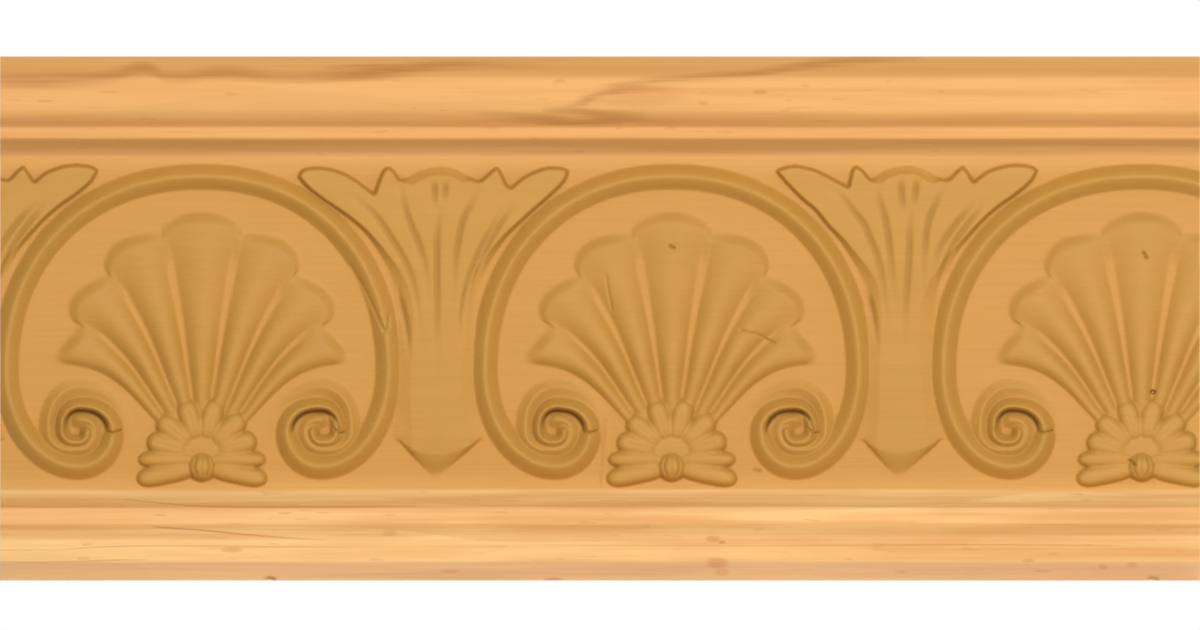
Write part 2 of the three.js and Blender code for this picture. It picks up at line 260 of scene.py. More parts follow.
def edge_distance(outline, row, column, reach):
    """Distance of each cell of the patch from the outline, up to reach."""
    far = np.full((rows, columns), reach)
    closed = np.vstack([outline, outline[:1]])
    for x, z in evenly(closed)[0]:
        r, c, there = patch((x - reach, z - reach), (x + reach, z + reach))
        if there:
            cell_x, cell_z = places_in(r, c)
            np.minimum(far[r, c], np.hypot(cell_x - x, cell_z - z), out=far[r, c])
    return far[row, column]


def plate(sheet, outline, rise_at, edge_at):
    """Raises sheet to a plate with a sloping edge. Its rise and the slope's width change with place."""
    outline = np.asarray(outline, float)
    row, column, there = patch(outline.min(0), outline.max(0))
    if not there:
        return
    edge = edge_at(row, column)
    depth_in = edge_distance(outline, row, column, float(edge.max()))
    depth_in = np.where(inside(outline, row, column), depth_in, 0)
    press(sheet, row, column, rise_at(row, column) * np.clip(depth_in / edge, 0, 1))


def dome(sheet, centre, half_long, half_wide, turn, rise, squareness=2):
    """Raises sheet to a low oval dome, turned by degrees. A high squareness blunts its ends."""
    reach = max(half_long, half_wide)
    row, column, there = patch(np.subtract(centre, reach), np.add(centre, reach))
    if not there:
        return
    x, z = (cells - middle for cells, middle in zip(places_in(row, column), centre))
    angle = math.radians(turn)
    long_way = (x * math.cos(angle) + z * math.sin(angle)) / half_long
    short_way = (z * math.cos(angle) - x * math.sin(angle)) / half_wide
    height = np.sqrt(np.clip(1 - np.abs(long_way) ** squareness - short_way ** 2, 0, 1))
    press(sheet, row, column, rise * height)


least_cut = 0.01


def tapered(depth, share, start, end):
    """Depth of a cut along its length, eased in over one span of it and out over another."""
    return np.maximum(depth * smoothstep(share, *start) * (1 - smoothstep(share, *end)), least_cut)


# %% [markdown]
# ## Arches
#
# Each shell stands under an arch: one strap that rises from a scroll, passes over the shell and
# runs down to the scroll on the other side. It is a gable in section, with a narrow crest.
# Over the arch its path is a superellipse, below the waist a quarter of an ellipse, and in the
# scroll a spiral whose radius shrinks at each quarter turn. The arches were cut by eye, so no two
# halves have quite the same span.

# %% Strap of the arch
arch_spans = [
    {"left": 0.417, "right": 0.397, "left_eye": 0.262, "right_eye": 0.253},
    {"left": 0.398, "right": 0.398, "left_eye": 0.247, "right_eye": 0.262},
    {"left": 0.422, "right": 0.390, "left_eye": 0.279, "right_eye": 0.262},
]
arch_apex = 0.9414
arch_waist = 0.36
arch_fullness = 2.15
eye_level = 0.177
strap_turns = [0.108, 0.102, 0.0736, 0.051, 0.034, 0.026]
strap_rise = 1.9
strap_crest = 0.3
strap_run = 2.1
strap_bulge = 1.25
scroll_crest = 0.25
scroll_run = 1.15
scroll_tail = 5.0
scroll_length = 29.0


def turns(eye, side, start, radii):
    """A spiral round the eye, its radius given at each quarter turn as a share of the band's height."""
    quarters = np.linspace(0, len(radii) - 1, 40 * (len(radii) - 1) + 1)
    low = np.minimum(quarters.astype(int), len(radii) - 2)
    ease = smoothstep(quarters - low, 0, 1)
    radii = np.asarray(radii) * band_height
    radius = radii[low] * (1 - ease) + radii[low + 1] * ease
    angle = start + quarters * math.pi / 2
    return np.stack([eye[0] + side * radius * np.cos(angle), eye[1] - radius * np.sin(angle)], 1)


def eye_of(span, place, side):
    """Centre of the scroll on that side of the arch."""
    reach = span["right_eye" if side > 0 else "left_eye"]
    return place + side * reach * pitch, band_bottom + eye_level * band_height


def strap_half(span, place, side):
    """Crest of half an arch, from the apex down the side and round the scroll."""
    half_span = span["right" if side > 0 else "left"] * pitch
    waist = band_bottom + arch_waist * band_height
    rise = (arch_apex - arch_waist) * band_height
    eye = eye_of(span, place, side)
    turn = np.linspace(0, math.pi / 2, 60)
    over = np.stack([
        place + side * half_span * np.sin(turn) ** (2 / arch_fullness),
        waist + rise * np.cos(turn).clip(0) ** (2 / arch_fullness),
    ], 1)
    drop = waist - (eye[1] - strap_turns[0] * band_height)
    inset = half_span - abs(eye[0] - place)
    under = np.stack([eye[0] + side * inset * np.cos(turn), waist - drop * np.sin(turn)], 1)
    return np.vstack([over, under[1:-1], turns(eye, side, math.pi / 2, strap_turns)])


def strap(sheet, span, place):
    """Presses one whole strap into the sheet."""
    crest = np.vstack([strap_half(span, place, -1)[::-1], strap_half(span, place, 1)[1:]])
    crest, at = evenly(crest)
    from_tail = np.minimum(at, at[-1] - at)
    full = smoothstep(from_tail, scroll_tail, scroll_length)
    flat = scroll_crest + (strap_crest - scroll_crest) * full
    run = scroll_run + (strap_run - scroll_run) * full
    stamp(sheet, crest, flat, run, np.full(len(crest), strap_rise), strap_bulge)


# %% [markdown]
# Inside each scroll a second, lower ring winds out from the eye and fades above the scroll. The
# roller bites deepest just under the strap's last turn, where a deep groove starts on the side of
# the shell, runs over the eye, and has torn the wood a little on the right. Painted shade makes it black.

# %% Rings, grooves and tears of the scrolls
ring_turns = [0.034, 0.048, 0.056, 0.092, 0.132, 0.140]
ring_rise = 1.2
ring_run = 1.5
ring_fade = 0.15
ring_fades_over = 0.6
groove_turns = {
    -1: [0.0835, 0.0600, 0.0405, 0.0235, 0.0125],
    1: [0.0850, 0.0590, 0.0560, 0.0280, 0.0150],
}
groove_depth = 0.85
groove_flat = 0.1
groove_run = 0.6
groove_start = (-0.2, 0.16)
groove_end = (0.35, 1.0)
tears = {
    -1: [(4.6, 0.0), (5.8, -0.25), (7.1, 0.1)],
    1: [(2.4, 0.3), (3.1, -0.3), (3.8, -0.2)],
}
tear_depth = 0.6
tear_flat = 0.05
tear_run = 0.3


def ring(sheet, eye, side):
    """Presses the ring of one scroll, which winds the same way round as the strap."""
    path, at = evenly(turns(eye, -side, -math.pi / 2, ring_turns))
    left = 1 - at / at[-1]
    rise = ring_fade + (ring_rise - ring_fade) * smoothstep(left, 0, ring_fades_over)
    stamp(sheet, path, scroll_crest, ring_run, rise)


def eye_groove(sheet, eye, side):
    """Bites the groove of one scroll into the sheet, with its tear on the right."""
    path, at = evenly(turns(eye, side, math.pi, groove_turns[side]))
    depth = tapered(groove_depth, at / at[-1], groove_start, groove_end)
    stamp(sheet, path, groove_flat, groove_run, depth)
    stamp(sheet, smooth_path(np.add(eye, tears[side])), tear_flat, tear_run, tear_depth)


# %% [markdown]
# ## Shells
#
# A scallop shell fans out of a point just above the band's foot. In polar form it is simple: the
# angle says which of the seven ribs a point is in, and the radius how far out it lies. The ribs
# are rounded. The narrow gaps between them go down to the ground near the root, bend a little
# outwards and fill in towards the rim, which is a row of lobes that slopes down softly.

# %% Shell
gap_bend = 0.10
gap_bend_at_sides = 0.06
bend_rounds = 3
shell_root = 0.105
shell_inner = 0.12
gap_angles = [-58.6, -44.1, -27.7, -10.2, 10.2, 27.7, 44.1, 58.6]
valley_radii = [0.508, 0.565, 0.634, 0.696, 0.696, 0.634, 0.565, 0.508]
lobe_radii = [0.544, 0.631, 0.703, 0.742, 0.703, 0.631, 0.544]
gap_share = 0.06
rib_rise = 1.25
rib_steepness = 0.24
rib_fullness = 0.9
outer_flank = 0.9
shell_edge = 3.0
gap_fill = 0.5
fill_reach = (1.5, 9.0)
fill_side_angle = 5


def shell(sheet, place):
    """Presses one shell."""
    reach = max(lobe_radii) * band_height
    root = (place, band_bottom + shell_root * band_height)
    row, column, there = patch(np.subtract(root, (reach, 0)), np.add(root, reach))
    if not there:
        return
    x, z = (cells - middle for cells, middle in zip(places_in(row, column), root))
    radius = np.hypot(x, z)
    turn = np.degrees(np.arctan2(x, np.maximum(z, 1e-6)))
    inner = shell_inner * band_height
    lobes = np.arange(len(gap_angles))
    bend = gap_bend + gap_bend_at_sides * (turn / gap_angles[-1]) ** 2
    angle = turn
    for _ in range(bend_rounds):
        place_in_fan = np.interp(angle, gap_angles, lobes)
        valley = np.interp(place_in_fan, lobes, valley_radii) * band_height
        share = np.clip((radius - inner) / (valley - inner), 0, 1)
        angle = turn / (1 - bend * np.sin(math.pi * share))
    lobe = np.minimum(place_in_fan.astype(int), len(lobe_radii) - 1)
    part = place_in_fan - lobe
    bulge = np.sqrt(np.clip(np.sin(math.pi * part), 0, 1))
    rim = valley + (np.asarray(lobe_radii)[lobe] * band_height - valley) * bulge
    fan = (angle > gap_angles[0]) & (angle < gap_angles[-1])
    swell = np.clip((part - gap_share) / (1 - 2 * gap_share), 0, 1)
    swell = np.where(lobe == 0, swell ** outer_flank, swell)
    swell = np.where(lobe == len(lobe_radii) - 1, 1 - (1 - swell) ** outer_flank, swell)
    rib_width = radius * np.radians(np.diff(gap_angles)[lobe])
    filled = gap_fill * (1 - smoothstep(rim - radius, *fill_reach))
    filled *= smoothstep(gap_angles[-1] - np.abs(angle), 0, fill_side_angle)
    crest = filled + (1 - filled) * np.sin(math.pi * swell) ** rib_fullness
    crest *= np.minimum(rib_rise, rib_steepness * rib_width)
    press(sheet, row, column, np.where(fan, crest * smoothstep(rim - radius, 0, shell_edge), 0))


# %% [markdown]
# ## Palmettes
#
# At the shell's root sits a small palmette: six petals in a half ring, over a bow of two wings
# with two plump folds each, and a ribbed knot between them.

# %% Palmette
petal_turns = [-75, -50, -18, 14, 47, 74]
petal_form = {"reach": 0.108, "root": 0.106, "length": 0.062, "width": 0.034, "rise": 1.4}
heart_form = {"up": 0.120, "length": 0.105, "width": 0.060, "rise": 0.9}
folds = [
    {"across": 0.104, "up": 0.092, "length": 0.088, "width": 0.026, "turn": 0},
    {"across": 0.108, "up": 0.049, "length": 0.090, "width": 0.031, "turn": -12},
]
fold_rise = 1.35
blunt = 4
knot_form = {"up": 0.070, "length": 0.044, "width": 0.044, "rise": 2.3}
petal_cut = {"reaches": (0.06, 0.14), "run": 0.35, "depth": 0.15}
# Cuts of the knot: each starts at one of these places, and its line is a swell and a level
knot_cut_places = (-0.016, 0, 0.016)
knot_cut = {"line": [(1, 0.045), (1.5, 0.07), (1, 0.1)], "run": 0.3, "depth": 0.3}


def share_point(place, x, z):
    """A point given in shares of the band's height, from the shell's middle and the band's foot."""
    return place + x * band_height, band_bottom + z * band_height


def petal_point(place, turn, reach):
    """The point of the petal leaning by turn degrees that lies so far out from its root."""
    angle = math.radians(turn)
    return share_point(place, reach * math.sin(angle), petal_form["root"] + reach * math.cos(angle))


def press_form(sheet, centre, form, turn, rise, squareness=2):
    """Presses a dome whose length and width are shares of the band's height."""
    dome(sheet, centre, form["length"] * band_height, form["width"] * band_height, turn, rise, squareness)


def palmette(sheet, place):
    """Presses one palmette."""
    for form in (heart_form, knot_form):
        press_form(sheet, share_point(place, 0, form["up"]), form, 0, form["rise"])
    for turn in petal_turns:
        centre = petal_point(place, turn, petal_form["reach"])
        press_form(sheet, centre, petal_form, 90 - turn, petal_form["rise"], blunt)
    for side in (-1, 1):
        for fold in folds:
            centre = share_point(place, side * fold["across"], fold["up"])
            press_form(sheet, centre, fold, side * fold["turn"], fold_rise, blunt)


def palmette_cuts(sheet, place):
    """Cuts along the petals and down the knot."""
    for turn in petal_turns:
        line = [petal_point(place, turn, reach) for reach in petal_cut["reaches"]]
        stamp(sheet, line, 0.0, petal_cut["run"], petal_cut["depth"])
    for start in knot_cut_places:
        line = [share_point(place, start * swell, level) for swell, level in knot_cut["line"]]
        stamp(sheet, smooth_path(line), 0.0, knot_cut["run"], knot_cut["depth"])


# %% [markdown]
# ## Acanthus leaves
#
# Between two arches stands a leaf, hardly more than a plate. Its edge is crisp at the leaflets and
# soft down the stem, whose foot is a facet that slopes to a tip. The two leaves differ a little, so
# each is drawn on the squared sheet, stroke by stroke round its outline: up the stem's
# left side, over the leaflets and the dome, and down the right side. Veins are shallow grooves that
# follow the lines of growth.

# %% Drawings of the leaves
first_leaf = {
    "middle": 437,
    "outline": [
        [(392, 484), (392, 441), (391, 400), (391, 360), (392, 340), (394, 320), (396, 303), (391, 277),
         (382, 258), (372, 242), (363, 231), (351, 220), (337, 210), (322, 200), (308, 189), (297, 177)],
        [(297, 177), (303, 169), (320, 167), (340, 171), (357, 180), (374, 193)],
        [(374, 193), (378, 181), (383, 170), (389, 166)],
        [(389, 166), (395, 171), (402, 179), (420, 170), (440, 166), (457, 169), (477, 180), (486, 175),
         (494, 168), (499, 167)],
        [(499, 167), (503, 175), (507, 184), (511, 187)],
        [(511, 187), (520, 179), (532, 172), (547, 167), (560, 167), (570, 170)],
        [(570, 170), (565, 182), (550, 197), (535, 210), (520, 224), (509, 235), (500, 247), (492, 260),
         (482, 282), (478, 298), (478, 314), (480, 332), (481, 360), (481, 400), (487, 441), (487, 484)],
    ],
    "foot": [(399, 441), (416, 451), (436, 455), (455, 452), (470, 446), (480, 440)],
    "veins": [
        [(396, 287), (402, 306), (407, 330), (411, 372)],
        [(352, 196), (371, 211), (381, 222), (392, 239), (402, 255), (410, 272), (415, 290), (419, 320),
         (422, 370)],
        [(400, 186), (405, 207), (412, 227), (420, 247), (426, 272), (429, 320)],
        [(434, 180), (435, 196), (434, 216)], [(446, 182), (445, 192), (442, 206)],
        [(440, 204), (438, 222), (437, 250), (437, 300), (436, 400)],
        [(477, 190), (471, 205), (464, 217), (459, 237), (455, 265), (452, 320)],
        [(503, 208), (490, 232), (482, 247), (475, 262), (467, 285), (462, 318), (459, 370)],
        [(516, 204), (502, 221), (492, 237), (485, 250), (478, 268), (472, 290), (468, 318)],
    ],
    "tip": (435, 480),
}
second_leaf = {
    "middle": 907,
    "outline": [
        [(857, 484), (857, 441), (860, 400), (860, 365), (861, 340), (863, 322), (865, 305), (865, 290),
         (861, 277), (852, 260), (840, 241), (827, 226), (815, 211), (802, 200), (787, 185), (775, 171)],
        [(775, 171), (783, 167), (797, 165), (815, 169), (830, 176), (848, 186)],
        [(848, 186), (850, 176), (852, 169), (856, 165)],
        [(856, 165), (864, 170), (872, 179), (882, 171), (897, 166), (912, 165), (925, 169), (946, 179),
         (957, 170), (964, 165)],
        [(964, 165), (970, 174), (974, 181)],
        [(974, 181), (987, 171), (1005, 165), (1020, 164), (1032, 166), (1039, 170)],
        [(1039, 170), (1032, 182), (1017, 195), (1000, 207), (985, 220), (970, 237), (957, 254),
         (949, 270), (942, 286), (939, 302), (939, 318), (940, 340), (940, 380), (948, 441), (948, 484)],
    ],
    "foot": [(864, 441), (880, 450), (898, 454), (915, 451), (930, 446), (941, 440)],
    "veins": [
        [(866, 288), (872, 308), (875, 326), (878, 356)],
        [(830, 190), (842, 197), (852, 209), (864, 224), (871, 240), (879, 262), (885, 300), (888, 360)],
        [(875, 186), (880, 202), (886, 222), (890, 250), (893, 285), (895, 330)],
        [(901, 178), (902, 198), (905, 222)], [(917, 178), (915, 196), (911, 214)],
        [(911, 206), (910, 226), (909, 262), (905, 320), (902, 375)],
        [(943, 186), (936, 203), (929, 221), (925, 250), (922, 310)],
        [(977, 203), (962, 217), (950, 232), (940, 248), (934, 268), (930, 300)],
        [(986, 202), (967, 225), (953, 246), (945, 264), (939, 284), (934, 312)],
    ],
    "tip": (898, 480),
}
leaf_drawings = [first_leaf, second_leaf, second_leaf]

# %% Leaf
leaf_rise = 1.15
stem_rise = 1.0
leaflet_edge = 0.48
dome_edge = 1.7
stem_edge = 3.4
# Places of the leaf on the squared sheet: from the dome's middle to its ends, and lines down the leaf
dome_reach = (24, 36)
dome_lines = (205, 190)
stem_lines = (215, 330)
foot_fullness = 0.6
least_facet = 0.3
facet_lead = 0.001
vein_depth = 0.42
vein_run = 0.75
vein_start = (-0.1, 0.25)
vein_end = (0.35, 1.0)


def drawn(drawing, points, place):
    """Places on a leaf's drawing, moved to where the leaf stands."""
    points = on_board(points)
    middle = (drawing["middle"] - sheet_middle[0]) * square
    return points + (place - middle, 0)


def foot_cut(drawing, place, row, column):
    """How much of the stem's height is left by the facet that slopes down to the tip of its foot."""
    ledge = smooth_path(drawn(drawing, drawing["foot"], place))
    tip = drawn(drawing, [drawing["tip"]], place)[0]
    x, z = places_in(row, column)
    corners = [ledge[0], tip, ledge[-1]]
    lower = np.interp(x, *zip(*corners))
    upper = np.interp(x, *ledge.T)
    left = np.clip((z - lower) / np.maximum(upper - lower, least_facet), 0, 1) ** foot_fullness
    on_facet = (z < upper) & (x > ledge[0][0]) & (x < ledge[-1][0])
    return left, on_facet


def leaf(sheets, drawing, place):
    """Presses one leaf: crisp at its leaflets, sloping at the dome, and soft down the stem."""
    def down_leaf(row, lines):
        start, end = (sheet_middle[1] - line for line in lines)
        return 1 - smoothstep(up[row][:, None] / square, end, start)

    def edge_at(row, column):
        from_middle = np.abs(across[column][None, :] - place) / square
        in_dome = (1 - smoothstep(from_middle, *dome_reach)) * (1 - down_leaf(row, dome_lines[::-1]))
        edge = leaflet_edge + (dome_edge - leaflet_edge) * in_dome
        return edge + (stem_edge - leaflet_edge) * down_leaf(row, stem_lines)

    def rise_at(row, column):
        left, _ = foot_cut(drawing, place, row, column)
        return left * (leaf_rise + (stem_rise - leaf_rise) * down_leaf(row, stem_lines))

    def facet_at(row, column):
        _, on_facet = foot_cut(drawing, place, row, column)
        return on_facet * (rise_at(row, column) + facet_lead)

    strokes = [smooth_path(drawn(drawing, stroke, place))[:-1] for stroke in drawing["outline"]]
    outline = np.vstack(strokes)
    plate(sheets["leaf"], outline, rise_at, edge_at)
    plate(sheets["leaf foot"], outline, facet_at, edge_at)


def leaf_cuts(sheet, drawing, place):
    """Cuts the midrib and the veins, deepest in their upper third."""
    for vein in drawing["veins"]:
        path, at = evenly(smooth_path(drawn(drawing, vein, place)))
        stamp(sheet, path, 0.0, vein_run, tapered(vein_depth, at / at[-1], vein_start, vein_end))


# %% [markdown]
# ## Press the whole band
#
# The pattern repeats along the board, and the saw cut it wherever the length ran out. Each motif
# gets a sheet of its own. The tallest motif wins at every point and lends it its tone, because the
# roller burned some forms browner than others, and how dark its slopes get, partly rubbed brown and
# partly painted shade. Then the grooves are taken away.

# %% Press the motifs
# How brown each motif is, and how dark its slopes get: partly rubbed brown, partly painted shade
looks = {
    "strap": (0.29, 0.2), "ring": (0.25, 0.2), "shell": (0.25, 0.35),
    "palmette": (0.18, 0.5), "leaf": (0.22, 0.6), "leaf foot": (0.55, 0.25),
}
motifs = {name: np.zeros((rows, columns)) for name in looks}
cuts = np.zeros((rows, columns))
bites = np.zeros((rows, columns))
first_step = math.ceil((-half_length - pitch - shell_place) / pitch)
last_step = math.floor((half_length + pitch - shell_place) / pitch)
for step in range(first_step, last_step + 1):
    motif = (step + 1) % len(arch_spans)
    span = arch_spans[motif]
    place = shell_place + step * pitch
    strap(motifs["strap"], span, place)
    for side in (-1, 1):
        eye = eye_of(span, place, side)
        ring(motifs["ring"], eye, side)
        eye_groove(bites, eye, side)
    shell(motifs["shell"], place)
    palmette(motifs["palmette"], place)
    palmette_cuts(cuts, place)
    leaf(motifs, leaf_drawings[motif], place + pitch / 2)
    leaf_cuts(cuts, leaf_drawings[motif], place + pitch / 2)
stack = np.stack(list(motifs.values()))
relief = stack.max(0)
motif_tone, motif_rubbing_and_shade = np.moveaxis(np.array(list(looks.values()))[stack.argmax(0)], -1, 0)
print("relief rises to", round(float(relief.max()), 2), "mm above its ground")

# %% [markdown]
# This length has had a life. It has a pin hole, a few fine cracks, small chips and a split beside
# the first arch's crest, each drawn on the squared sheet with its depth and half width in
# millimetres.

# %% Cracks and holes
nicks = [
    ([(1152, 392), (1154, 392)], 1.2, 0.35),
    ([(1130, 460), (1135, 465)], 0.6, 0.3),
    ([(1143, 252), (1147, 258)], 0.5, 0.3),
    ([(740, 330), (757, 334), (775, 343)], 0.35, 0.22),
    ([(606, 275), (608, 290), (612, 310)], 0.25, 0.25),
    ([(670, 246), (674, 248)], 0.5, 0.35),
    ([(600, 487), (602, 455), (605, 420)], 0.25, 0.3),
    ([(754, 470), (760, 471)], 0.4, 0.4),
    ([(351, 265), (367, 294), (378, 318), (384, 331)], 0.25, 0.4),
    ([(383, 328), (385, 332), (388, 328), (389, 317)], 0.4, 0.3),
    ([(269, 579), (273, 580)], 0.8, 0.5),
    ([(1150, 579), (1156, 580)], 0.8, 0.5),
]
nick_flat = 0.05
for places, depth, half_width in nicks:
    stamp(bites, on_board(places), nick_flat, half_width, depth)
print(len(nicks), "marks of use")

# %% Join the marks and soften them
soft_edge = 0.13
soft_bite = 0.09
least_relief = 0.2
pressed = blurred(relief - cuts * (relief > least_relief), soft_edge) - blurred(bites, soft_bite)
front_depth = rail_depth[:, None] - pressed
front = -(board_thickness - front_depth)
print("front runs from", round(float(front.min()), 2), "to", round(float(front.max()), 2), "mm")

# %% [markdown]
# ## Where the roller burned the wood, and where shade is painted
#
# The steeper a slope, the darker it is made: partly as the steel rubbed it browner, partly as painted
# shade of slopes turned from the light. Two maps record this for the material: how brown and how
# slope-shaded a point is, and how much shade is painted on it for lying deep in a groove or hollow.

# %% Maps for the material
tone_blur = 0.12
tone_starts = (0.03, 0.35)
steepness = (0.15, 1.1)
hollow_size = 0.6
slope = np.hypot(*np.gradient(pressed, cell))
roller_tone_and_slope_shade = blurred(motif_tone * smoothstep(relief, *tone_starts), tone_blur)
steep = smoothstep(blurred(slope, tone_blur), *steepness)
# Steep slopes are darkened: partly the roller's rubbing, partly painted shade of slopes that turn from
# the light
roller_tone_and_slope_shade = roller_tone_and_slope_shade + (1 - roller_tone_and_slope_shade) * motif_rubbing_and_shade * steep
# Painted shade where the front lies deep: how dark it gets, its depth, and the depths where that starts
# and is full
depths = [
    (0.85, blurred(bites, 0.1), 0.15, 0.8),
    (0.3, blurred(pressed, hollow_size) - pressed, 0.12, 0.5),
    (0.3, cuts, 0.05, 0.4),
]
painted_hollow_shade = np.clip(sum(dark * smoothstep(depth, *limits) for dark, depth, *limits in depths), 0, 1)
print("burnish up to", round(float(roller_tone_and_slope_shade.max()), 2), "mean", round(float(roller_tone_and_slope_shade.mean()), 3))

# %% [markdown]
# ## The board's mesh
#
# A grid with one vertex per cell takes the map's form exactly, but most of its faces lie on
# plain ground that needs none. Decimate folds those away and keeps the carving. The front is
# shaped first, then its edge is extruded straight back to the wall side and closed with one face.

# %% Shape a grid by the map
most_faces = 186000
scene = bpy.context.scene


def placed(name, data):
    """A new object in the scene, with that mesh, lamp or camera."""
    made = bpy.data.objects.new(name, data)
    scene.collection.objects.link(made)
    return made


def pressed_grid():
    """The front of the board as a grid whose vertices follow the map."""
    mesh = bpy.data.meshes.new("frieze_front")
    shape = bmesh.new()
    bmesh.ops.create_grid(shape, x_segments=columns - 1, y_segments=rows - 1, size=0.5)
    shape.to_mesh(mesh)
    shape.free()
    flat = np.empty(len(mesh.vertices) * 3)
    mesh.vertices.foreach_get("co", flat)
    flat = flat.reshape(-1, 3)
    column = np.rint((flat[:, 0] + 0.5) * (columns - 1)).astype(int)
    row = np.rint((flat[:, 1] + 0.5) * (rows - 1)).astype(int)
    formed = np.stack([across[column], front[row, column], up[row]], 1) * mm
    mesh.vertices.foreach_set("co", formed.ravel())
    mesh.update()
    return mesh


def thinned(mesh, faces):
    """The same mesh with about that many triangles."""
    holder = placed("frieze_front", mesh)
    fold = holder.modifiers.new("fold flat ground", "DECIMATE")
    fold.ratio = faces / (2 * len(mesh.polygons))
    fold.use_collapse_triangulate = True
    view = holder.evaluated_get(bpy.context.evaluated_depsgraph_get())
    result = bpy.data.meshes.new_from_object(view)
    bpy.data.objects.remove(holder)
    bpy.data.meshes.remove(mesh)
    return result


front_mesh = thinned(pressed_grid(), most_faces)
print("front has", len(front_mesh.polygons), "triangles")

# %% Close the board at the sides and the back
sharp_angle = math.radians(50)


def closed_board(front_mesh):
    """Extrudes the front's edge to the back plane and closes the back."""
    shape = bmesh.new()
    shape.from_mesh(front_mesh)
    rim = [edge for edge in shape.edges if edge.is_boundary]
    made = bmesh.ops.extrude_edge_only(shape, edges=rim)["geom"]
    for part in made:
        if isinstance(part, bmesh.types.BMVert):
            part.co.y = 0.0
    back_rim = [part for part in made if isinstance(part, bmesh.types.BMEdge) and part.is_boundary]
    bmesh.ops.contextual_create(shape, geom=back_rim)
    bmesh.ops.recalc_face_normals(shape, faces=shape.faces)
    mesh = bpy.data.meshes.new("frieze_board")
    shape.to_mesh(mesh)
    open_edges = sum(not edge.is_manifold for edge in shape.edges)
    shape.free()
    print("board has", len(mesh.polygons), "faces and", open_edges, "open edges")
    return mesh


board_mesh = closed_board(front_mesh)
bpy.data.meshes.remove(front_mesh)
board_mesh.shade_smooth()
board_mesh.set_sharp_from_angle(angle=sharp_angle)

# %% Write the maps onto the mesh
back_zone = 1.0
short_of_last = 1.001


def cell_of(place, half, count):
    """The cell before each place along one side of the map, and how far on to the next it lies."""
    cells = np.clip((place + half) / (2 * half) * (count - 1), 0, count - short_of_last)
    return cells.astype(int), cells % 1


def read_map(sheet, x, z):
    """Values of the map at those places, blended between the nearest cells."""
    c, s = cell_of(x, half_length, columns)
    r, t = cell_of(z, half_height, rows)
    low_row = sheet[r, c] * (1 - s) + sheet[r, c + 1] * s
    high_row = sheet[r + 1, c] * (1 - s) + sheet[r + 1, c + 1] * s
    return low_row * (1 - t) + high_row * t


def write_map(mesh, name, sheet):
    """Stores a map as a point attribute. The back of the board gets none of it."""
    places = np.empty(len(mesh.vertices) * 3)
    mesh.vertices.foreach_get("co", places)
    places = places.reshape(-1, 3) / mm
    values = read_map(sheet, places[:, 0], places[:, 2])
    values[places[:, 1] > -back_zone] = 0.0
    layer = mesh.attributes.new(name, "FLOAT", "POINT")
    layer.data.foreach_set("value", values.astype(np.float32))
    print(name, "on", int((values > 0.01).sum()), "of", len(values), "vertices")


write_map(board_mesh, "roller_tone_and_slope_shade", roller_tone_and_slope_shade)
write_map(board_mesh, "painted_hollow_shade", painted_hollow_shade)

board = placed("frieze_board", board_mesh)

# %% [markdown]
# ## Pine
#
# Pine is a stack of growth rings cut at a slant. A picture of wood would slide over the sides, so
# the wood is worked out in space instead: rings round a far axis behind the board, fine fibres
# that run along it, and short resin flecks. The same field then gives long streaks on the front
# and arcs on the sawn ends.

# %% Helpers for nodes
def add(tree, kind, inputs=None, **settings):
    """Adds a node with those settings. Each input takes a value or another node's output."""
    made = tree.nodes.new(kind)
    for name, value in settings.items():
        setattr(made, name, value)
    for key, value in (inputs or {}).items():
        if isinstance(value, bpy.types.NodeSocket):
            tree.links.new(value, made.inputs[key])
        else:
            made.inputs[key].default_value = value
    return made


def maths(tree, operation, *values):
    """The result of one sum."""
    return add(tree, "ShaderNodeMath", dict(enumerate(values)), operation=operation).outputs[0]


def product(tree, first, *others):
    """Some values multiplied together."""
    for other in others:
        first = maths(tree, "MULTIPLY", first, other)
    return first


def squares(tree, first, second):
    """The sum of two squares."""
    return maths(tree, "ADD", product(tree, first, first), product(tree, second, second))


def strongest(tree, masks):
    """The largest of some masks at every point."""
    top = 0.0
    for mask in masks:
        top = maths(tree, "MAXIMUM", top, mask)
    return top


def between(tree, value, start, end, low=0.0, high=1.0):
    """Value brought from one range to another with an eased climb."""
    inputs = {0: value, 1: start, 2: end, 3: low, 4: high}
    return add(tree, "ShaderNodeMapRange", inputs, interpolation_type="SMOOTHSTEP").outputs[0]


def linear(value):
    """One part of a colour as seen on a screen, 0 to 255, as the light that Blender works with."""
    value /= 255
    return value / 12.92 if value <= 0.04045 else ((value + 0.055) / 1.055) ** 2.4


def mix(tree, share, first, second):
    """Two colours mixed by a share. Each is a node's output, or red, green and blue on a screen."""
    colours = [
        colour if isinstance(colour, bpy.types.NodeSocket) else (*map(linear, colour), 1)
        for colour in (first, second)
    ]
    inputs = {0: share, 6: colours[0], 7: colours[1]}
    return add(tree, "ShaderNodeMix", inputs, data_type="RGBA").outputs[2]


def layered(tree, colour, layers):
    """A colour with others laid over it in turn, each by its share."""
    for share, over in layers:
        colour = mix(tree, share, colour, over)
    return colour


def new_group(name, inputs, outputs):
    """An empty node group with named sockets: (name, type, default)."""
    tree = bpy.data.node_groups.new(name, "ShaderNodeTree")
    for socket, kind, default in inputs:
        made = tree.interface.new_socket(socket, in_out="INPUT", socket_type=kind)
        if default is not None:
            made.default_value = default
    for socket, kind in outputs:
        tree.interface.new_socket(socket, in_out="OUTPUT", socket_type=kind)
    return tree, tree.nodes.new("NodeGroupInput").outputs, tree.nodes.new("NodeGroupOutput").inputs


VECTOR = "NodeSocketVector"
FLOAT = "NodeSocketFloat"


# %% Growth rings
# The rings' axis runs along the board at this place in depth and height
pith = (34.0, -6.0)
drift_weight = 4.0
late_peak = 0.93


